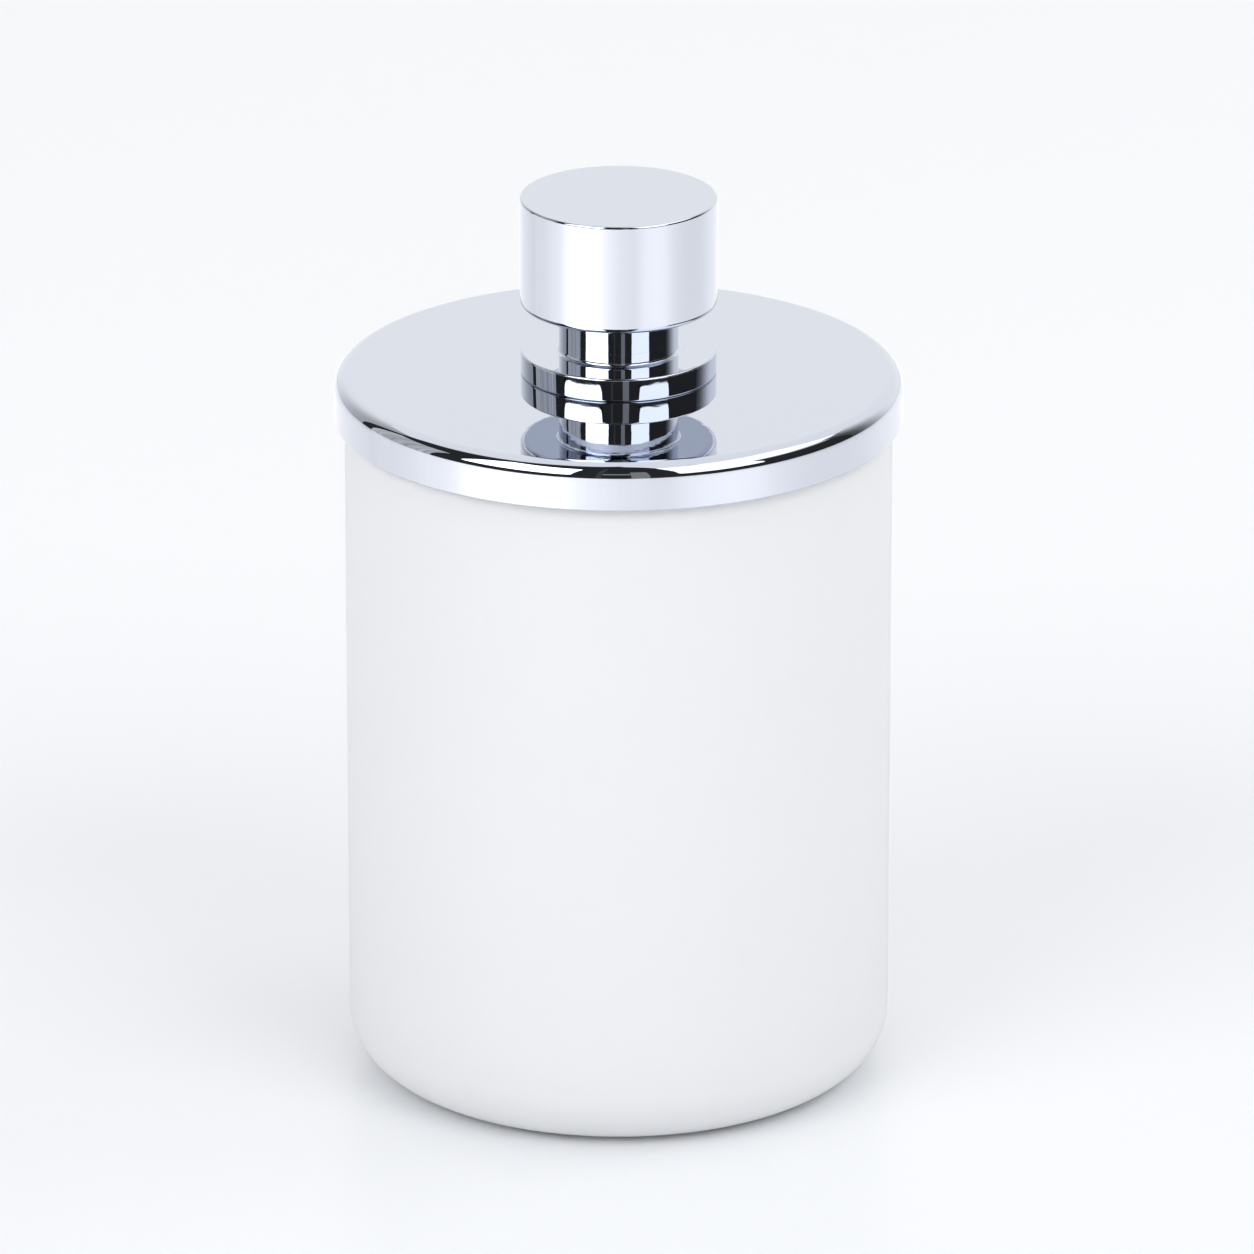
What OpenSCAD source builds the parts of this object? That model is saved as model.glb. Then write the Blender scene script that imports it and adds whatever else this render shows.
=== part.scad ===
// Straight-sided frosted glass jar with a loose chromed lid.
// The lid is a pressed metal cover over a plastic liner and a flat silicone gasket,
// all clamped by one screw that runs up into a turned two-disc knob.
// Units are millimetres. The origin is the centre of the jar's base, with +Z up.

/* [Glass jar] */
// Outside diameter of the jar
jar_d = 77.1; // [60:0.1:95]
// Height of the jar from its base to its rim
jar_h = 99.8; // [70:0.1:130]
// Thickness of the side wall
wall_t = 3; // [2:0.1:4.5]
// Thickness of the glass at the middle of the base, over the push-up
base_t = 8; // [5:0.1:12]
// Radius of the outside corner between side wall and base
heel_r = 8; // [3:0.1:12]
// Radius of the inside corner between side wall and floor
floor_r = 4; // [2:0.1:10]
// Radius of the fire-polished edges of the rim
rim_r = 1; // [0.4:0.1:1]
// Height of the shallow push-up under the base
push_up_h = 0.8; // [0.3:0.1:2]
// Width of the flat foot ring around the push-up
foot_ring_w = 6; // [3:0.1:10]

/* [Lid cover] */
// Thickness of the metal sheet
sheet_t = 1; // [0.6:0.1:1.5]
// Height of the cover, from the edge of its skirt to its top
cover_h = 6.7; // [5.5:0.1:12]
// Outside radius of the corner between top and skirt
cover_corner_r = 2.2; // [1.7:0.1:3]
// Rounding of the skirt's lower edge
skirt_edge_r = 0.3; // [0.1:0.05:0.3]
// Clearance between the skirt and the glass, per side
skirt_gap = 0.45; // [0.3:0.05:1]

/* [Lid liner] */
// Thickness of the liner's disc
liner_t = 1.4; // [1:0.1:2]
// Clearance between the liner's edge and the skirt, per side
liner_gap = 0.4; // [0.2:0.05:0.8]
// Depth of the ring wall that stands in the jar's mouth, below the disc
plug_h = 7; // [5:0.1:12]
// Thickness of that ring wall
plug_t = 1.6; // [1.3:0.1:2.5]
// Clearance between the ring wall and the inside of the glass, per side
plug_gap = 0.75; // [0.5:0.05:1.2]
// Depth of the groove that holds the gasket's inner edge
groove_depth = 0.6; // [0.3:0.05:0.8]
// Rounding of the disc's lower edge
liner_edge_r = 0.2; // [0.1:0.05:0.3]

/* [Gasket] */
// Thickness of the gasket between the liner and the rim
gasket_t = 1; // [0.6:0.1:2]
// Clearance between the gasket's outer edge and the skirt
gasket_outer_gap = 1.1; // [0.5:0.1:1.5]
// Clearance between the gasket's inner edge and the bottom of its groove
gasket_inner_gap = 0.1; // [0.05:0.05:0.2]

/* [Knob] */
// Diameter of the head
head_d = 27.7; // [20:0.1:40]
// Height of the head
head_h = 15.8; // [13:0.1:24]
// Rounding of the head's upper edge
head_top_r = 0.4; // [0.2:0.05:1.5]
// Rounding of the head's lower edge
head_bottom_r = 0.85; // [0.2:0.05:1.5]
// Diameter of the neck
neck_d = 16.8; // [14:0.1:19]
// Height of the neck between the head and the rosette
neck_h = 6.6; // [4:0.05:9]
// Radius of the small flare at each end of the neck
neck_flare_r = 0.5; // [0.2:0.05:0.5]
// Diameter of the rosette that stands on the lid
rosette_d = 27.5; // [24:0.1:40]
// Height of the rosette
rosette_h = 3.35; // [2.8:0.05:6]
// Rounding of the rosette's edges
rosette_edge_r = 0.3; // [0.1:0.05:0.5]
// Diameter of the spigots that centre the neck
spigot_d = 10; // [8:0.1:12]
// Height of each spigot
spigot_h = 1.1; // [0.6:0.1:1.2]
// Clearance around and beyond each spigot
spigot_gap = 0.1; // [0.05:0.05:0.2]

/* [Washer under the rosette] */
// Outside diameter of the washer
pad_d = 20; // [14:0.1:22]
// Thickness of the washer, flush with the rosette's underside
pad_t = 0.5; // [0.3:0.1:0.8]
// Clearance between the washer and the wall of its recess
pad_gap = 0.2; // [0.1:0.05:0.4]

/* [Screw and washers] */
// Outside diameter of the screw thread
screw_d = 4; // [3:0.1:5]
// Pitch of the screw thread
screw_pitch = 0.7; // [0.5:0.05:0.8]
// Length of the screw under its head
screw_l = 22; // [20:1:24]
// Diameter of the screw's pan head
screw_head_d = 8; // [7:0.1:9.5]
// Height of the screw's pan head
screw_head_h = 3; // [2.4:0.1:3.4]
// Width of the slots of the cross recess
recess_w = 1; // [0.8:0.05:1.1]
// Width across the cross recess
recess_d = 4.4; // [3.6:0.1:5]
// Depth of the cross recess
recess_h = 1.9; // [1.2:0.1:2]
// Clearance between the screw and the holes it passes through, per side
bore_gap = 0.25; // [0.1:0.05:0.4]
// Clearance between the thread and the wall of the hole in the head, per side
thread_gap = 0.05; // [0.02:0.01:0.1]
// Depth left in the hole beyond the screw's tip
tip_gap = 1.5; // [0.5:0.1:2]
// Outside diameter of the flat washer
washer_d = 10; // [9:0.1:12]
// Thickness of the flat washer
washer_t = 0.8; // [0.5:0.1:1]
// Outside diameter of the spring lock washer
lock_d = 7.4; // [7:0.1:8.5]
// Thickness of the spring lock washer
lock_t = 0.9; // [0.6:0.1:1.2]
// Width of the split in the spring lock washer
lock_split_w = 0.8; // [0.4:0.1:1.2]

/* [Hidden] */
$fn = 96;

// Glass
jar_r = jar_d / 2;
mouth_r = jar_r - wall_t;
foot_inner_r = jar_r - heel_r - foot_ring_w;
push_up_sphere_r = (foot_inner_r * foot_inner_r + push_up_h * push_up_h) / (2 * push_up_h);
floor_z = push_up_h + base_t;

// Lid, stacked upwards from the rim
gasket_z = jar_h;
liner_z = gasket_z + gasket_t;
sheet_z = liner_z + liner_t;
lid_top_z = sheet_z + sheet_t;
cover_z = lid_top_z - cover_h;
skirt_inner_r = jar_r + skirt_gap;
cover_r = skirt_inner_r + sheet_t;
cover_inner_corner_r = cover_corner_r - sheet_t;
liner_r = skirt_inner_r - liner_gap;
liner_corner_r = cover_inner_corner_r - liner_gap;
plug_r = mouth_r - plug_gap;
groove_r = plug_r - groove_depth;

// Knob, stacked upwards from the lid
neck_z = lid_top_z + rosette_h;
head_z = neck_z + neck_h;
pad_seat_r = pad_d / 2 + pad_gap;
spigot_seat_r = spigot_d / 2 + spigot_gap;
spigot_seat_h = spigot_h + spigot_gap;

// Screw, hanging under the liner
washer_z = liner_z - washer_t;
lock_z = washer_z - lock_t;
screw_head_z = lock_z - screw_head_h;
screw_tip_z = lock_z + screw_l;
bore_r = screw_d / 2 + bore_gap;
tapped_r = screw_d / 2 + thread_gap;
tapped_h = screw_tip_z - head_z + tip_gap;
// A thread ridge's depth, and where along one pitch its crest starts, its crest ends
// and its flank reaches the root again
thread_depth = 0.54 * screw_pitch;
crest_start = 0.4 * screw_pitch;
crest_end = 0.55 * screw_pitch;
flank_end = 0.95 * screw_pitch;
first_ridge_z = 0.5 * screw_pitch;
thread_turns = floor(screw_l / screw_pitch) - 1;
pan_edge_r = 1.6;
pan_rim_r = 0.2;
// The split of the lock washer leans this far sideways for each unit it rises
lock_slant = 0.5;

// A cut is carried this far past a face it opens through
past = 1;

chrome = [0.80, 0.81, 0.84];
frosted_glass = [0.91, 0.93, 0.94];
clear_plastic = [0.88, 0.90, 0.92];
silicone = [0.86, 0.87, 0.88];
steel = [0.62, 0.64, 0.67];

// What is cut from a square corner at [x, z] to round it to radius r.
// side_x and side_z say which way the corner points.
module corner_cut(x, z, r, side_x, side_z) {
    translate([x - side_x * r, z - side_z * r])
        scale([side_x, side_z])
            difference() {
                square([r + past, r + past]);
                circle(r);
            }
}

// Half section of a disc or ring from inner radius r0 to outer radius r1,
// with its outer edges rounded
module disc_section(r0, r1, h, bottom_r, top_r) {
    difference() {
        translate([r0, 0]) square([r1 - r0, h]);
        corner_cut(r1, 0, bottom_r, 1, -1);
        corner_cut(r1, h, top_r, 1, 1);
    }
}

module ring(r0, r1, h, edge_r) {
    rotate_extrude() disc_section(r0, r1, h, edge_r, edge_r);
}

// --- Glass ---

module jar_outline() {
    disc_section(0, jar_r, jar_h, heel_r, rim_r);
}

module jar_cavity() {
    translate([0, floor_z])
        difference() {
            square([mouth_r, jar_h - floor_z + past]);
            corner_cut(mouth_r, 0, floor_r, 1, -1);
        }
    // The rim's inner edge is rounded too
    corner_cut(mouth_r, jar_h, rim_r, -1, 1);
}

module push_up() {
    intersection() {
        translate([0, push_up_h - push_up_sphere_r]) circle(push_up_sphere_r, $fn = 360);
        translate([0, -past]) square([foot_inner_r + past, push_up_h + 2 * past]);
    }
}

module glass_jar() {
    color(frosted_glass)
        rotate_extrude()
            difference() {
                jar_outline();
                jar_cavity();
                push_up();
            }
}

// --- Lid ---

module lid_cover() {
    color(chrome)
        translate([0, 0, cover_z])
            rotate_extrude()
                difference() {
                    disc_section(bore_r, cover_r, cover_h, skirt_edge_r, cover_corner_r);
                    translate([0, -past])
                        difference() {
                            square([skirt_inner_r, cover_h - sheet_t + past]);
                            corner_cut(skirt_inner_r, cover_h - sheet_t + past,
                                cover_inner_corner_r, 1, 1);
                        }
                    corner_cut(skirt_inner_r, 0, skirt_edge_r, -1, -1);
                }
}

module lid_liner() {
    color(clear_plastic)
        translate([0, 0, liner_z])
            rotate_extrude()
                union() {
                    disc_section(bore_r, liner_r, liner_t, liner_edge_r, liner_corner_r);
                    difference() {
                        translate([plug_r - plug_t, -plug_h]) square([plug_t, plug_h + liner_t / 2]);
                        corner_cut(plug_r, -plug_h, plug_t / 2, 1, -1);
                        translate([groove_r, -gasket_t]) square([groove_depth + past, gasket_t]);
                    }
                }
}

module rim_gasket() {
    color(silicone)
        translate([0, 0, gasket_z])
            ring(groove_r + gasket_inner_gap, skirt_inner_r - gasket_outer_gap, gasket_t,
                gasket_t / 4);
}

// --- Knob ---

module knob_head() {
    color(chrome)
        translate([0, 0, head_z])
            rotate_extrude()
                difference() {
                    disc_section(0, head_d / 2, head_h, head_bottom_r, head_top_r);
                    translate([0, -past]) square([spigot_seat_r, spigot_seat_h + past]);
                    // Tapped hole with the drill's point at its end
                    polygon([[0, 0], [tapped_r, 0], [tapped_r, tapped_h],
                        [0, tapped_h + tapped_r / 2]]);
                }
}

module neck_flare(z, side_z) {
    translate([neck_d / 2, z])
        scale([1, side_z])
            difference() {
                translate([-neck_flare_r, 0]) square([2 * neck_flare_r, neck_flare_r]);
                translate([neck_flare_r, neck_flare_r]) circle(neck_flare_r);
            }
}

module knob_neck() {
    color(chrome)
        translate([0, 0, neck_z])
            rotate_extrude()
                union() {
                    translate([bore_r, 0]) square([neck_d / 2 - bore_r, neck_h]);
                    translate([bore_r, -spigot_h])
                        square([spigot_d / 2 - bore_r, neck_h + 2 * spigot_h]);
                    neck_flare(0, 1);
                    neck_flare(neck_h, -1);
                }
}

module knob_rosette() {
    color(chrome)
        translate([0, 0, lid_top_z])
            rotate_extrude()
                difference() {
                    disc_section(bore_r, rosette_d / 2, rosette_h, rosette_edge_r, rosette_edge_r);
                    translate([0, -past]) square([pad_seat_r, pad_t + past]);
                    translate([0, rosette_h - spigot_seat_h])
                        square([spigot_seat_r, spigot_seat_h + past]);
                }
}

module rosette_washer() {
    color(clear_plastic)
        translate([0, 0, lid_top_z])
            ring(bore_r, pad_d / 2, pad_t, pad_t / 5);
}

// --- Screw and washers ---

// Half section of the threaded shank, with one ridge for each turn
module shank_section() {
    crest = screw_d / 2;
    root = crest - thread_depth;
    ridges = [
        for (turn = [0 : thread_turns - 1])
            let (z = first_ridge_z + turn * screw_pitch)
                each [[root, z], [crest, z + crest_start],
                    [crest, z + crest_end], [root, z + flank_end]]
    ];
    polygon(concat(
        [[0, -screw_head_h / 2], [root, -screw_head_h / 2]],
        ridges,
        [[root, screw_l - thread_depth], [root - thread_depth, screw_l], [0, screw_l]]
    ));
}

module cross_recess() {
    intersection() {
        cylinder(h = recess_h, r1 = recess_d / 2, r2 = recess_d / 4);
        for (angle = [0, 90])
            rotate([0, 0, angle])
                translate([-recess_d / 2, -recess_w / 2, -past])
                    cube([recess_d, recess_w, recess_h + 2 * past]);
    }
}

module knob_screw() {
    color(steel)
        difference() {
            translate([0, 0, lock_z])
                rotate_extrude()
                    union() {
                        translate([0, -screw_head_h])
                            disc_section(0, screw_head_d / 2, screw_head_h, pan_edge_r, pan_rim_r);
                        shank_section();
                    }
            translate([0, 0, screw_head_z]) {
                cross_recess();
                translate([0, 0, -past]) cylinder(h = past, r = recess_d / 2);
            }
        }
}

module flat_washer() {
    color(steel)
        translate([0, 0, washer_z])
            ring(bore_r, washer_d / 2, washer_t, washer_t / 5);
}

module lock_washer() {
    color(steel)
        translate([0, 0, lock_z])
            difference() {
                ring(bore_r, lock_d / 2, lock_t, lock_t / 8);
                // The split is cut on the slant, as in a coil
                translate([0, -lock_split_w / 2, -past])
                    multmatrix([[1, 0, 0, 0], [0, 1, lock_slant, 0], [0, 0, 1, 0], [0, 0, 0, 1]])
                        cube([lock_d, lock_split_w, lock_t + 2 * past]);
            }
}

glass_jar();
lid_cover();
lid_liner();
rim_gasket();
knob_head();
knob_neck();
knob_rosette();
rosette_washer();
knob_screw();
flat_washer();
lock_washer();
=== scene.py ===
"""Looks for the frosted glass jar with its chromed lid and knob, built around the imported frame.

Every round piece is turned about the Z axis from a half outline whose corners are true arcs, and
carries the exact normals of those arcs, so that the chrome mirrors cleanly.
"""
import math

import bpy
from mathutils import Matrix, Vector


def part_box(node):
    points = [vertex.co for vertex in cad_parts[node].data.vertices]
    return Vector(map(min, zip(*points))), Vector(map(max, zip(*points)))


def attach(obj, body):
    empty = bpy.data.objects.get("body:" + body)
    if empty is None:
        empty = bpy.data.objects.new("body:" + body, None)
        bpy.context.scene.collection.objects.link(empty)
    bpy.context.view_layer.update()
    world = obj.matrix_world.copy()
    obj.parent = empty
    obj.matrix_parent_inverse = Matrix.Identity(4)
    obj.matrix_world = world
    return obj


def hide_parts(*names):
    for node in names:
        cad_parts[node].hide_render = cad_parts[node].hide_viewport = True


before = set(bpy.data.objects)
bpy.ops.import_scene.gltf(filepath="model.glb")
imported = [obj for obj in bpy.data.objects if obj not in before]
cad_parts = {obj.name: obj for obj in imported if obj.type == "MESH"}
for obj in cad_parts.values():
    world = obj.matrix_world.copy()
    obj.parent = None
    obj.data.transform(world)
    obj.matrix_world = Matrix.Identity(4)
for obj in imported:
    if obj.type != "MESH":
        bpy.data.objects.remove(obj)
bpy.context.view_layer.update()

MM = 0.001
SEGMENTS = 256
ARC_STEP = math.radians(9)

# ---------------------------------------------------------------- sizes the frame's boxes don't give

WALL = 3.0 * MM
BASE = 8.0 * MM
HEEL_R = 8.0 * MM
FLOOR_R = 4.0 * MM
RIM_R = 1.0 * MM
PUSH_UP = 0.8 * MM
FOOT_RING = 6.0 * MM
DOME_STEPS = 10

SHEET = 1.0 * MM
COVER_CORNER_R = 2.2 * MM
SKIRT_EDGE_R = 0.3 * MM
BORE_R = 2.25 * MM

LINER = 1.4 * MM
LINER_GAP = 0.4 * MM
LINER_EDGE_R = 0.2 * MM
PLUG_WALL = 1.6 * MM
PLUG_GAP = 0.75 * MM
PLUG_ROOT_R = 0.5 * MM
PLUG_EDGE_R = 0.3 * MM
GROOVE = 0.6 * MM
GASKET_INNER_GAP = 0.1 * MM

HEAD_TOP_R = 0.4 * MM
HEAD_BOTTOM_R = 0.85 * MM
FLARE_R = 0.5 * MM
SPIGOT_R = 5.0 * MM
SPIGOT_HOLE_R = 5.1 * MM
SPIGOT_END_GAP = 0.1 * MM
PAD_RECESS_R = 10.2 * MM
ROSETTE_EDGE_R = 0.3 * MM
ROSETTE_CROWN = math.radians(1.0)

# ---------------------------------------------------------------- colours

CHROME = (0.605, 0.64, 0.715, 1)
KNOB_WAVINESS = 0.004 * MM
SHEET_WAVINESS = 0.010 * MM
GLASS = (0.93, 0.936, 0.95, 1)
GLASS_TRANSMISSION = 0.2
GLASS_IOR = 1.5
STEEL = (0.55, 0.57, 0.60, 1)
LINER_COLOUR = (0.80, 0.82, 0.83)
SILICONE_COLOUR = (0.78, 0.79, 0.80)
WASHER_COLOUR = (0.80, 0.81, 0.83)
PAPER = (0.84, 0.85, 0.865, 1)

# ---------------------------------------------------------------- studio and camera, in metres

MIRROR_ROOM_Z = 0.1
CORNER_POWER = 16
AMBIENT = 0.765
AMBIENT_COLOUR = (0.985, 1.0, 1.02, 1)
FLOOR_HALF = 12.0
FLOOR_DROP = -0.02 * MM
LENS = 320.86
EYE = (0.00118, -1.48230, 0.61969)
LOOKING_DOWN = 20.527


def reach(node):
    """(radius, lowest z, highest z) of a round CAD node."""
    low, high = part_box(node)
    return high.x, low.z, high.z


# ---------------------------------------------------------------- turned meshes

def unit(v):
    length = math.hypot(*v)
    return (v[0] / length, v[1] / length)


def corner(r, z, fillet=0.0, crown=0.0):
    """A corner of a half outline. The outline runs anticlockwise, r to the right and z up.

    crown is the angle by which polishing has rounded the straight that follows, at each end.
    """
    return {"at": (r, z), "fillet": fillet, "crown": crown}


def smooth(r, z):
    """A point of a curve that is sampled, where the two straights beside it share one normal."""
    return {"at": (r, z), "fillet": None, "crown": 0.0}


def turned_by(v, angle):
    return (v[0] * math.cos(angle) - v[1] * math.sin(angle),
            v[0] * math.sin(angle) + v[1] * math.cos(angle))


def outline_edges(points):
    """Edges of a closed half outline: ((r, z), (r, z), normal at the first, normal at the second)."""
    count = len(points)
    entry, exits, arcs = [], [], []
    for i, point in enumerate(points):
        a = points[i - 1]["at"]
        b = point["at"]
        c = points[(i + 1) % count]["at"]
        back = unit((a[0] - b[0], a[1] - b[1]))
        on = unit((c[0] - b[0], c[1] - b[1]))
        if not point["fillet"]:
            entry.append(b)
            exits.append(b)
            arcs.append([])
            continue
        half = math.acos(max(-1.0, min(1.0, back[0] * on[0] + back[1] * on[1]))) / 2
        run = point["fillet"] / math.tan(half)
        start = (b[0] + back[0] * run, b[1] + back[1] * run)
        end = (b[0] + on[0] * run, b[1] + on[1] * run)
        middle = unit((back[0] + on[0], back[1] + on[1]))
        far = point["fillet"] / math.sin(half)
        centre = (b[0] + middle[0] * far, b[1] + middle[1] * far)
        convex = (-back[0]) * on[1] - (-back[1]) * on[0] > 0
        first = math.atan2(start[1] - centre[1], start[0] - centre[0])
        turn = math.pi - 2 * half
        turn = turn if convex else -turn
        steps = max(2, math.ceil(abs(turn) / ARC_STEP))
        ring = []
        for k in range(steps + 1):
            angle = first + turn * k / steps
            ray = (math.cos(angle), math.sin(angle))
            place = (centre[0] + point["fillet"] * ray[0], centre[1] + point["fillet"] * ray[1])
            ring.append((place, ray if convex else (-ray[0], -ray[1])))
        ring[0] = (start, ring[0][1])
        ring[-1] = (end, ring[-1][1])
        entry.append(start)
        exits.append(end)
        arcs.append(ring)
    straight = []
    for i in range(count):
        a, b = exits[i], entry[(i + 1) % count]
        run = unit((b[0] - a[0], b[1] - a[1]))
        straight.append((a, b, (run[1], -run[0])))
    edges = []
    for i, point in enumerate(points):
        for (p, n), (q, m) in zip(arcs[i], arcs[i][1:]):
            edges.append((p, q, n, m))
        a, b, normal = straight[i]
        start_normal = turned_by(normal, -point["crown"])
        end_normal = turned_by(normal, point["crown"])
        if point["fillet"] is None:
            before = straight[i - 1][2]
            start_normal = unit((before[0] + normal[0], before[1] + normal[1]))
        if points[(i + 1) % count]["fillet"] is None:
            after = straight[(i + 1) % count][2]
            end_normal = unit((after[0] + normal[0], after[1] + normal[1]))
        edges.append((a, b, start_normal, end_normal))
    return edges


def turned(name, points, slot_of=None):
    """A closed mesh turned about Z. slot_of(r, z, normal) picks the material slot of a face."""
    edges = outline_edges(points)
    tiny = 1e-9
    edges = [e for e in edges if max(e[0][0], e[1][0]) > tiny]
    verts, index = [], {}

    def vertex(p, step):
        on_axis = p[0] <= tiny
        key = (round(p[0], 9), round(p[1], 9), 0 if on_axis else step % SEGMENTS)
        if key not in index:
            angle = 2 * math.pi * (step % SEGMENTS) / SEGMENTS
            index[key] = len(verts)
            verts.append((p[0] * math.cos(angle), p[0] * math.sin(angle), p[1]))
        return index[key]

    faces, normals, slots = [], [], []
    for p, q, n, m in edges:
        middle = ((p[0] + q[0]) / 2, (p[1] + q[1]) / 2)
        slot = slot_of(middle[0], middle[1], unit((n[0] + m[0], n[1] + m[1]))) if slot_of else 0
        for step in range(SEGMENTS):
            loop = [(p, n, step), (p, n, step + 1), (q, m, step + 1), (q, m, step)]
            if p[0] <= tiny:
                loop = [(p, n, step + 0.5), loop[2], loop[3]]
            elif q[0] <= tiny:
                loop = [loop[0], loop[1], (q, m, step + 0.5)]
            faces.append([vertex(place, int(s)) for place, _, s in loop])
            slots.append(slot)
            for _, normal, s in loop:
                angle = 2 * math.pi * s / SEGMENTS
                level = (normal[0] * math.cos(angle), normal[0] * math.sin(angle))
                normals.append((*level, normal[1]))
    mesh = bpy.data.meshes.new(name)
    mesh.from_pydata(verts, [], faces)
    mesh.polygons.foreach_set("use_smooth", [True] * len(faces))
    mesh.polygons.foreach_set("material_index", slots)
    mesh.update()
    mesh.normals_split_custom_set(normals)
    piece = bpy.data.objects.new(name, mesh)
    bpy.context.scene.collection.objects.link(piece)
    return piece


# ---------------------------------------------------------------- materials

def material(name):
    made = bpy.data.materials.new(name)
    made.use_nodes = True
    tree = made.node_tree
    return made, tree, tree.nodes["Principled BSDF"]


def place(tree):
    return tree.nodes.new("ShaderNodeTexCoord").outputs["Object"]


def noise(tree, scale, detail=2.0, roughness=0.5):
    node = tree.nodes.new("ShaderNodeTexNoise")
    node.inputs["Scale"].default_value = scale
    node.inputs["Detail"].default_value = detail
    node.inputs["Roughness"].default_value = roughness
    tree.links.new(place(tree), node.inputs["Vector"])
    return node.outputs["Fac"]


def spread(tree, source, low, high):
    """The source's usual 0.3 to 0.7 stretched over low to high."""
    node = tree.nodes.new("ShaderNodeMapRange")
    node.inputs["From Min"].default_value = 0.3
    node.inputs["From Max"].default_value = 0.7
    node.inputs["To Min"].default_value = low
    node.inputs["To Max"].default_value = high
    tree.links.new(source, node.inputs["Value"])
    return node.outputs["Result"]


def bump(tree, shader, height, distance, strength=1.0):
    node = tree.nodes.new("ShaderNodeBump")
    node.inputs["Distance"].default_value = distance
    node.inputs["Strength"].default_value = strength
    tree.links.new(height, node.inputs["Height"])
    tree.links.new(node.outputs["Normal"], shader.inputs["Normal"])


def chrome(name, waviness):
    made, tree, shader = material(name)
    shader.inputs["Base Color"].default_value = CHROME
    shader.inputs["Metallic"].default_value = 1.0
    tree.links.new(spread(tree, noise(tree, 180, 3), 0.012, 0.03), shader.inputs["Roughness"])
    bump(tree, shader, noise(tree, 240, 2), waviness)
    return made


def milky_glass(name):
    made, tree, shader = material(name)
    shader.inputs["Base Color"].default_value = GLASS
    shader.inputs["Transmission Weight"].default_value = GLASS_TRANSMISSION
    shader.inputs["IOR"].default_value = GLASS_IOR
    return made, tree, shader


def frosted_glass():
    made, tree, shader = milky_glass("frosted_glass")
    tree.links.new(spread(tree, noise(tree, 90, 3), 0.52, 0.58), shader.inputs["Roughness"])
    bump(tree, shader, noise(tree, 4500, 2), 0.012 * MM)
    return made


def smooth_glass():
    made, tree, shader = milky_glass("smooth_glass")
    tree.links.new(spread(tree, noise(tree, 60, 2), 0.10, 0.18), shader.inputs["Roughness"])
    return made


def moulded_plastic(name, colour, roughness):
    made, tree, shader = material(name)
    shader.inputs["Base Color"].default_value = (*colour, 1)
    shader.inputs["Subsurface Weight"].default_value = 0.4
    shader.inputs["Subsurface Radius"].default_value = (2 * MM, 2 * MM, 2 * MM)
    shader.inputs["Subsurface Scale"].default_value = 1.0
    tree.links.new(spread(tree, noise(tree, 300, 3), roughness - 0.06, roughness + 0.06),
                   shader.inputs["Roughness"])
    bump(tree, shader, noise(tree, 2500, 3), 0.01 * MM)
    return made


def plated_steel():
    made, tree, shader = material("zinc_plated_steel")
    shader.inputs["Base Color"].default_value = STEEL
    shader.inputs["Metallic"].default_value = 1.0
    tree.links.new(spread(tree, noise(tree, 900, 4), 0.22, 0.38), shader.inputs["Roughness"])
    bump(tree, shader, noise(tree, 3000, 3), 0.008 * MM)
    return made


# ---------------------------------------------------------------- pieces

def finish_piece(piece, node, body, slot, *materials):
    for made in materials:
        piece.data.materials.append(made)
    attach(piece, body)
    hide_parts(node)
    return piece


def glass_jar():
    radius, foot, rim = reach("glass_jar")
    mouth = radius - WALL
    floor = foot + PUSH_UP + BASE
    dome_r = radius - HEEL_R - FOOT_RING
    dome = []
    for step in range(DOME_STEPS + 1):
        share = step / DOME_STEPS
        dome.append(smooth(dome_r * share, foot + PUSH_UP * (1 - share * share)))
    dome[0] = corner(*dome[0]["at"])
    dome[-1] = corner(*dome[-1]["at"])
    points = dome + [
        corner(radius, foot, HEEL_R),
        corner(radius, rim, RIM_R),
        corner(mouth, rim, RIM_R),
        corner(mouth, floor, FLOOR_R),
        corner(0, floor),
    ]

    def slot_of(r, z, normal):
        """Smooth glass inside and over the rim, and frosted glass outside."""
        inside = r < mouth + RIM_R and z > floor - MM / 2
        over_the_rim = z > rim - RIM_R / 2
        return 1 if inside or over_the_rim else 0

    piece = turned("jar_glass", points, slot_of)
    return finish_piece(piece, "glass_jar", "jar", "frosted_glass", frosted_glass(), smooth_glass())


def lid_cover():
    radius, low, top = reach("lid_cover")
    inner = radius - SHEET
    under = top - SHEET
    piece = turned("lid_cover_shell", [
        corner(BORE_R, under),
        corner(inner, under, COVER_CORNER_R - SHEET),
        corner(inner, low, SKIRT_EDGE_R),
        corner(radius, low, SKIRT_EDGE_R),
        corner(radius, top, COVER_CORNER_R),
        corner(BORE_R, top),
    ])
    return finish_piece(piece, "lid_cover", "lid", "chrome", chrome("plated_sheet", SHEET_WAVINESS))


def lid_liner():
    radius, low, top = reach("lid_liner")
    under = top - LINER
    gasket_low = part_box("rim_gasket")[0].z
    plug = reach("glass_jar")[0] - WALL - PLUG_GAP
    groove = plug - GROOVE
    inner = plug - PLUG_WALL
    piece = turned("lid_liner_moulding", [
        corner(BORE_R, under),
        corner(inner, under, PLUG_ROOT_R),
        corner(inner, low, PLUG_EDGE_R),
        corner(plug, low, PLUG_WALL / 2),
        corner(plug, gasket_low),
        corner(groove, gasket_low),
        corner(groove, under),
        corner(radius, under, LINER_EDGE_R),
        corner(radius, top, COVER_CORNER_R - SHEET - LINER_GAP),
        corner(BORE_R, top),
    ])
    return finish_piece(piece, "lid_liner", "lid", "liner_plastic",
                        moulded_plastic("natural_liner", LINER_COLOUR, 0.42))


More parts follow.
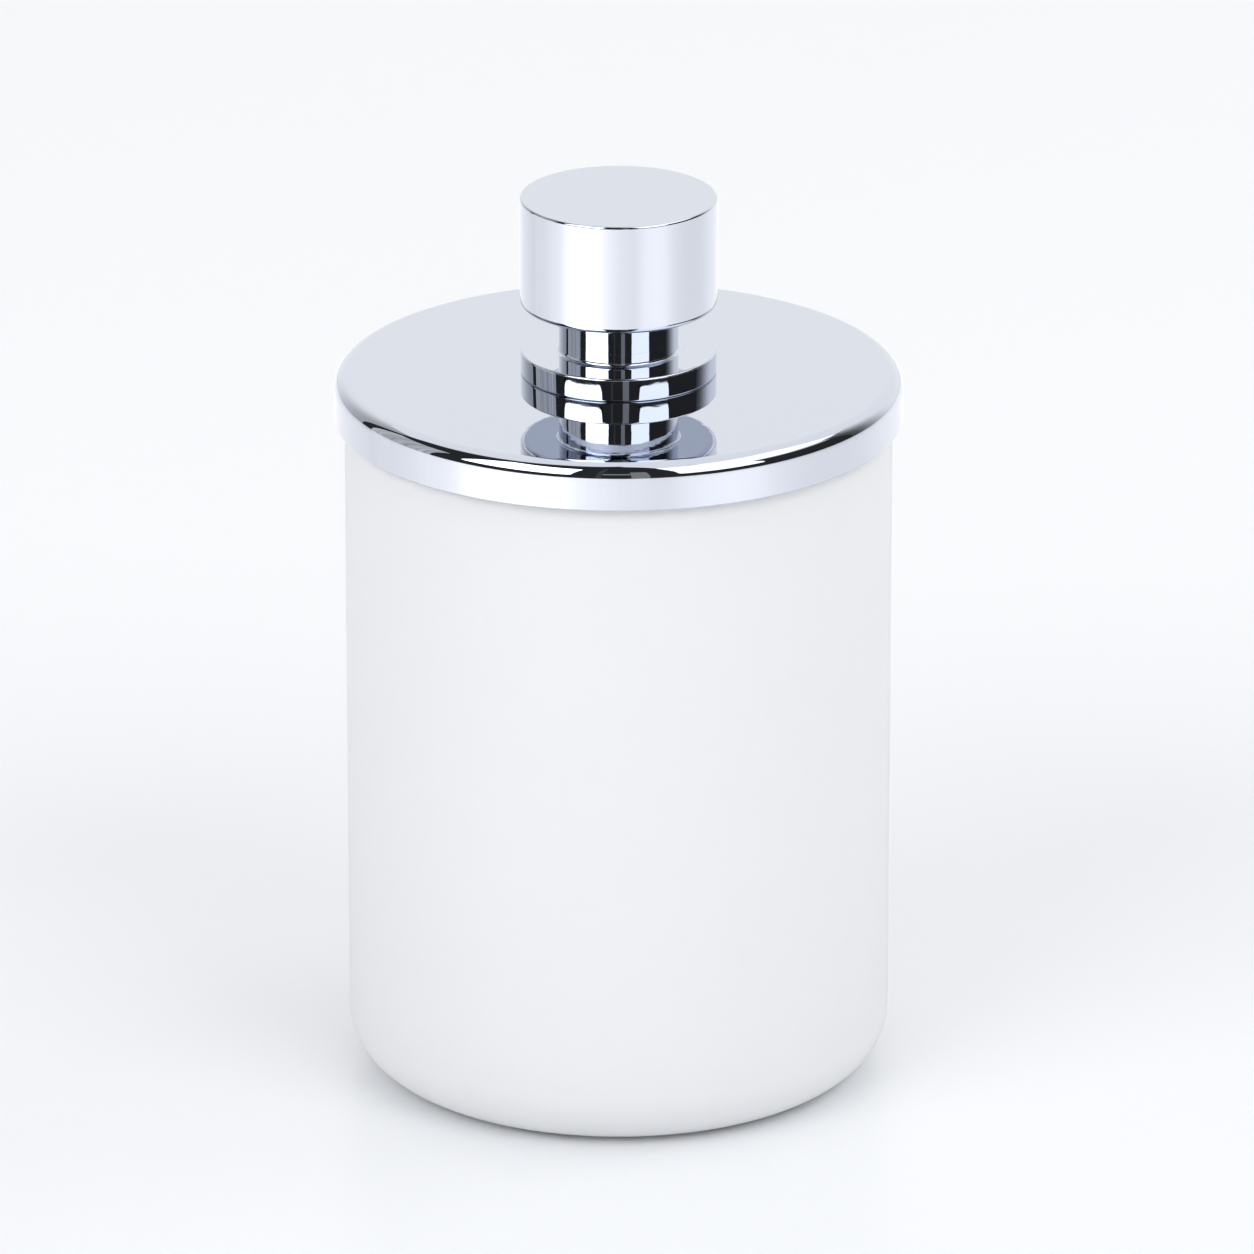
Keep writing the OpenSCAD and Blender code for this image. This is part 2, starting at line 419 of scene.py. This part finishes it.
def rim_gasket():
    radius, low, top = reach("rim_gasket")
    inner = reach("glass_jar")[0] - WALL - PLUG_GAP - GROOVE + GASKET_INNER_GAP
    edge = (top - low) / 4
    piece = turned("rim_gasket_ring", [
        corner(inner, low),
        corner(radius, low, edge),
        corner(radius, top, edge),
        corner(inner, top),
    ])
    return finish_piece(piece, "rim_gasket", "seal", "silicone",
                        moulded_plastic("silicone_rubber", SILICONE_COLOUR, 0.55))


def knob_head(metal):
    radius, low, top = reach("knob_head")
    spigot = reach("knob_neck")[2]
    piece = turned("knob_head_turning", [
        corner(0, spigot),
        corner(SPIGOT_HOLE_R, spigot),
        corner(SPIGOT_HOLE_R, low),
        corner(radius, low, HEAD_BOTTOM_R),
        corner(radius, top, HEAD_TOP_R),
        corner(0, top),
    ])
    return finish_piece(piece, "knob_head", "lid", "chrome", metal)


def knob_neck(metal):
    radius = reach("knob_neck")[0] - FLARE_R
    low = reach("knob_rosette")[2]
    top = reach("knob_head")[1]
    spigot_low, spigot_top = reach("knob_neck")[1:]
    flare = FLARE_R * 0.999  # a hair less than the whole step, so that no edge has zero length
    piece = turned("knob_neck_spool", [
        corner(BORE_R, spigot_low),
        corner(SPIGOT_R, spigot_low),
        corner(SPIGOT_R, low),
        corner(radius + FLARE_R, low),
        corner(radius, low, flare),
        corner(radius, top, flare),
        corner(radius + FLARE_R, top),
        corner(SPIGOT_R, top),
        corner(SPIGOT_R, spigot_top),
        corner(BORE_R, spigot_top),
    ])
    return finish_piece(piece, "knob_neck", "lid", "chrome", metal)


def knob_rosette(metal):
    radius, low, top = reach("knob_rosette")
    pad_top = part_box("rosette_washer")[1].z
    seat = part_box("knob_neck")[0].z - SPIGOT_END_GAP
    piece = turned("knob_rosette_disc", [
        corner(BORE_R, pad_top),
        corner(PAD_RECESS_R, pad_top),
        corner(PAD_RECESS_R, low),
        corner(radius, low, ROSETTE_EDGE_R, ROSETTE_CROWN),
        corner(radius, top, ROSETTE_EDGE_R),
        corner(SPIGOT_HOLE_R, top),
        corner(SPIGOT_HOLE_R, seat),
        corner(BORE_R, seat),
    ])
    return finish_piece(piece, "knob_rosette", "lid", "chrome", metal)


def dress_fasteners():
    steel = plated_steel()
    washer = moulded_plastic("natural_washer", WASHER_COLOUR, 0.45)
    for node, made in (("knob_screw", steel), ("flat_washer", steel), ("lock_washer", steel),
                       ("rosette_washer", washer)):
        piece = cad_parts[node]
        piece.data.materials.clear()
        piece.data.materials.append(made)


# ---------------------------------------------------------------- studio

def smoothstep(tree, source, start, end, first, last):
    node = tree.nodes.new("ShaderNodeMapRange")
    node.interpolation_type = "SMOOTHSTEP"
    for name, value in (("From Min", start), ("From Max", end), ("To Min", first), ("To Max", last)):
        node.inputs[name].default_value = value
    tree.links.new(source, node.inputs["Value"])
    return node.outputs["Result"]


def math_node(tree, operation, *values):
    node = tree.nodes.new("ShaderNodeMath")
    node.operation = operation
    for socket, value in zip(node.inputs, values):
        if isinstance(value, (int, float)):
            socket.default_value = value
        else:
            tree.links.new(value, socket)
    return node.outputs["Value"]


def emitter(name):
    """A new emission material: (material, node tree, emission shader, u socket, v socket)."""
    made = bpy.data.materials.new(name)
    made.use_nodes = True
    tree = made.node_tree
    tree.nodes.clear()
    shader = tree.nodes.new("ShaderNodeEmission")
    out = tree.nodes.new("ShaderNodeOutputMaterial")
    tree.links.new(shader.outputs["Emission"], out.inputs["Surface"])
    split = tree.nodes.new("ShaderNodeSeparateXYZ")
    tree.links.new(tree.nodes.new("ShaderNodeUVMap").outputs["UV"], split.inputs["Vector"])
    return made, tree, shader, split.outputs["X"], split.outputs["Y"]


def softbox_glow(name, strength, edge):
    """Bright inside an outline with round corners. edge is the share over which it falls to black."""
    made, tree, shader, u, v = emitter(name)
    squares = []
    for axis in (u, v):
        centred = math_node(tree, "MULTIPLY_ADD", axis, 2.0, -1.0)
        squares.append(math_node(tree, "POWER", math_node(tree, "ABSOLUTE", centred), CORNER_POWER))
    outline = math_node(tree, "ADD", *squares)
    inside = (1 - edge) ** CORNER_POWER
    tree.links.new(smoothstep(tree, outline, inside, 1, strength, 0), shader.inputs["Strength"])
    return made


def ramp_glow(name, first, last, axis, start, end):
    """A ramp from one strength to another along u or v."""
    made, tree, shader, u, v = emitter(name)
    along = smoothstep(tree, u if axis == "u" else v, start, end, first, last)
    tree.links.new(along, shader.inputs["Strength"])
    return made


def streaked_glow(name, low, high):
    """A dim wall with upright streaks."""
    made, tree, shader, u, _ = emitter(name)
    streaks = tree.nodes.new("ShaderNodeTexNoise")
    streaks.noise_dimensions = "1D"
    streaks.inputs["Scale"].default_value = 9
    tree.links.new(u, streaks.inputs["W"])
    tree.links.new(spread(tree, streaks.outputs["Fac"], low, high), shader.inputs["Strength"])
    return made


def toward(azimuth, elevation, distance):
    """A point seen from the lid. Azimuth 0 is towards the camera, and 90 is to its right."""
    turn, rise = math.radians(azimuth), math.radians(elevation)
    level = distance * math.cos(rise)
    return Vector((level * math.sin(turn), -level * math.cos(turn),
                   MIRROR_ROOM_Z + distance * math.sin(rise)))


def screen(name, azimuths, low, tops, distance, made):
    """A curved panel that only the mirror surfaces see.

    It runs from the first to the last azimuth and from the elevation low up to tops, which are the
    elevations of its upper edge at the first and the last azimuth.
    """
    columns, rows = 24, 16
    first, last = azimuths
    verts, uvs, faces = [], [], []
    for column in range(columns + 1):
        u = column / columns
        top = tops[0] + (tops[1] - tops[0]) * u
        for row in range(rows + 1):
            v = row / rows
            verts.append(toward(first + (last - first) * u, low + (top - low) * v, distance))
            uvs.append((u, v))
    for column in range(columns):
        for row in range(rows):
            here = column * (rows + 1) + row
            beside = here + rows + 1
            faces.append((here, here + 1, beside + 1, beside))
    mirror_only(name, verts, faces, uvs, made)


def mirror_only(name, verts, faces, uvs, made):
    """A sheet that only the mirror surfaces see."""
    mesh = bpy.data.meshes.new(name)
    mesh.from_pydata(verts, [], faces)
    layer = mesh.uv_layers.new(name="panel")
    for loop in mesh.loops:
        layer.data[loop.index].uv = uvs[loop.vertex_index]
    mesh.materials.append(made)
    panel = bpy.data.objects.new(name, mesh)
    for kind in ("camera", "diffuse", "transmission", "volume_scatter", "shadow"):
        setattr(panel, "visible_" + kind, False)
    bpy.context.scene.collection.objects.link(panel)


def room_in_the_mirror():
    """The room that the chrome mirrors: pale all round, dark towards the camera, with softboxes."""
    pale, dark, left_end, right_end = 1.09, 0.03, 0.5, 0.08
    dome, walls, boxes, stands = 4.0, 3.6, 3.3, 3.0
    below = -15

    everywhere = ramp_glow("pale_room", pale, pale, "v", 0, 1)
    screen("pale_room", (0, 360), below, (90, 90), dome, everywhere)

    front = ramp_glow("dark_front", dark, pale, "v", 0.9, 1.01)
    to_the_left = ramp_glow("left_wall", pale, left_end, "u", 0, 1)
    to_the_right = ramp_glow("far_right", right_end, pale, "u", 0, 0.8)
    screen("dark_left", (-121, -75), below, (52, 84), walls, front)
    screen("left_wall", (-165, -121), below, (36, 44), walls, to_the_left)
    screen("dark_middle_left", (-75, -5), below, (84, 97), walls, front)
    screen("dark_middle_right", (-5, 26), below, (97, 86), walls, front)
    screen("dark_right", (26, 105), below, (45, 36), walls, front)
    screen("far_right", (105, 150), below, (38, 40), walls, to_the_right)

    streaks = streaked_glow("grey_wall", 0.4, 0.75)
    screen("grey_wall", (-114, -79), below, (36, 36), boxes, streaks)
    for name, azimuths, low, tops, strength, edge in (
            ("left_softbox", (-67, -19), 18, (61, 59), 3.6, 0.02),
            ("right_softbox", (24, 62), 18, (66, 66), 2.0, 0.02),
            ("side_softbox", (60, 122), 38, (72, 60), 1.8, 0.1)):
        screen(name, azimuths, low, tops, boxes, softbox_glow(name, strength, edge))
    for name, azimuths, low, top, strength, edge in (
            ("left_stand", (-9, -6.5), below, 70, 0.07, 0.1),
            ("right_stand", (4.7, 12.4), below, 44, 0.28, 0.3),
            ("camera_body", (-7, 7), 23, 31, 0.3, 0.1)):
        screen(name, azimuths, low, (top, top), stands, softbox_glow(name, strength, edge))


def bulge(tree, u, azimuth, half_width, strength):
    """A smooth rise around an azimuth of a ring whose u runs once round from -180 degrees."""
    beyond = math_node(tree, "SUBTRACT", u, (azimuth + 180) / 360)
    offset = math_node(tree, "ABSOLUTE", beyond)
    return smoothstep(tree, offset, 0, half_width / 360, strength, 0)


def table_shine():
    """The softboxes' shine on the floor paper, as the upright chrome sees it.

    It is a flat ring of light just over the floor, added to what lies behind it. It is brightest
    below each front softbox, and fades in from its inner edge.
    """
    everywhere, warm = 0.23, (1.0, 0.91, 0.84, 1)
    inner, outer, height, columns = 0.1, 1.5, 1 * MM, 96

    made, tree, shader, u, v = emitter("table_shine")
    left = bulge(tree, u, azimuth=-40, half_width=62, strength=0.48)
    right = bulge(tree, u, azimuth=43, half_width=42, strength=0.17)
    glow = math_node(tree, "ADD", math_node(tree, "ADD", left, right), everywhere)
    fade_in = smoothstep(tree, v, 0, 0.1, 0, 1)
    tree.links.new(math_node(tree, "MULTIPLY", glow, fade_in), shader.inputs["Strength"])
    shader.inputs["Color"].default_value = warm
    clear = tree.nodes.new("ShaderNodeBsdfTransparent")
    both = tree.nodes.new("ShaderNodeAddShader")
    tree.links.new(shader.outputs["Emission"], both.inputs[0])
    tree.links.new(clear.outputs["BSDF"], both.inputs[1])
    tree.links.new(both.outputs["Shader"], tree.nodes["Material Output"].inputs["Surface"])

    verts, uvs, faces = [], [], []
    for column in range(columns + 1):
        share = column / columns
        turn = math.radians(360 * share - 180)
        for v_end, r in ((0, inner), (1, outer)):
            verts.append((r * math.sin(turn), -r * math.cos(turn), height))
            uvs.append((share, v_end))
    for column in range(columns):
        faces.append((2 * column, 2 * column + 1, 2 * column + 3, 2 * column + 2))
    mirror_only("table_shine", verts, faces, uvs, made)


def lamp(name, azimuth, elevation, distance, width, height, power):
    """A softbox's light, in metres and watts. The mirror surfaces see its screen instead."""
    data = bpy.data.lights.new(name, "AREA")
    data.shape = "RECTANGLE"
    data.size = width
    data.size_y = height
    data.energy = power
    source = bpy.data.objects.new(name, data)
    source.location = toward(azimuth, elevation, distance)
    aim = Vector((0, 0, MIRROR_ROOM_Z / 2)) - source.location
    source.rotation_euler = aim.to_track_quat("-Z", "Y").to_euler()
    source.visible_glossy = False
    source.visible_camera = False
    bpy.context.scene.collection.objects.link(source)


def paper_floor():
    corners = [(-FLOOR_HALF, -FLOOR_HALF), (FLOOR_HALF, -FLOOR_HALF),
               (FLOOR_HALF, FLOOR_HALF), (-FLOOR_HALF, FLOOR_HALF)]
    mesh = bpy.data.meshes.new("floor")
    mesh.from_pydata([(x, y, FLOOR_DROP) for x, y in corners], [], [(0, 1, 2, 3)])
    paper, tree, shader = material("floor_paper")
    shader.inputs["Base Color"].default_value = PAPER
    shader.inputs["Specular IOR Level"].default_value = 0.5
    tree.links.new(spread(tree, noise(tree, 6, 2), 0.28, 0.32), shader.inputs["Roughness"])
    mesh.materials.append(paper)
    sheet = bpy.data.objects.new("floor", mesh)
    bpy.context.scene.collection.objects.link(sheet)


def studio():
    world = bpy.data.worlds.new("studio")
    world.use_nodes = True
    background = world.node_tree.nodes["Background"]
    background.inputs["Color"].default_value = AMBIENT_COLOUR
    background.inputs["Strength"].default_value = AMBIENT
    bpy.context.scene.world = world

    paper_floor()
    lamp("left_lamp", azimuth=-43, elevation=35, distance=1.8, width=1.1, height=0.8, power=8.3)
    lamp("right_lamp", azimuth=43, elevation=40, distance=1.8, width=1.0, height=0.9, power=7.3)
    lamp("side_lamp", azimuth=105, elevation=38, distance=2.0, width=1.1, height=0.8, power=4.5)
    room_in_the_mirror()
    table_shine()


def camera():
    data = bpy.data.cameras.new("camera")
    eye = bpy.data.objects.new("camera", data)
    bpy.context.scene.collection.objects.link(eye)
    data.sensor_width = 36
    data.lens = LENS
    data.clip_start = 0.05
    data.clip_end = 60
    eye.location = EYE
    eye.rotation_euler = (math.radians(90 - LOOKING_DOWN), 0, 0)
    bpy.context.scene.camera = eye


metal = chrome("plated_knob", KNOB_WAVINESS)
glass_jar()
lid_cover()
lid_liner()
rim_gasket()
knob_head(metal)
knob_neck(metal)
knob_rosette(metal)
dress_fasteners()
studio()
camera()

bpy.context.scene.view_settings.view_transform = "Standard"
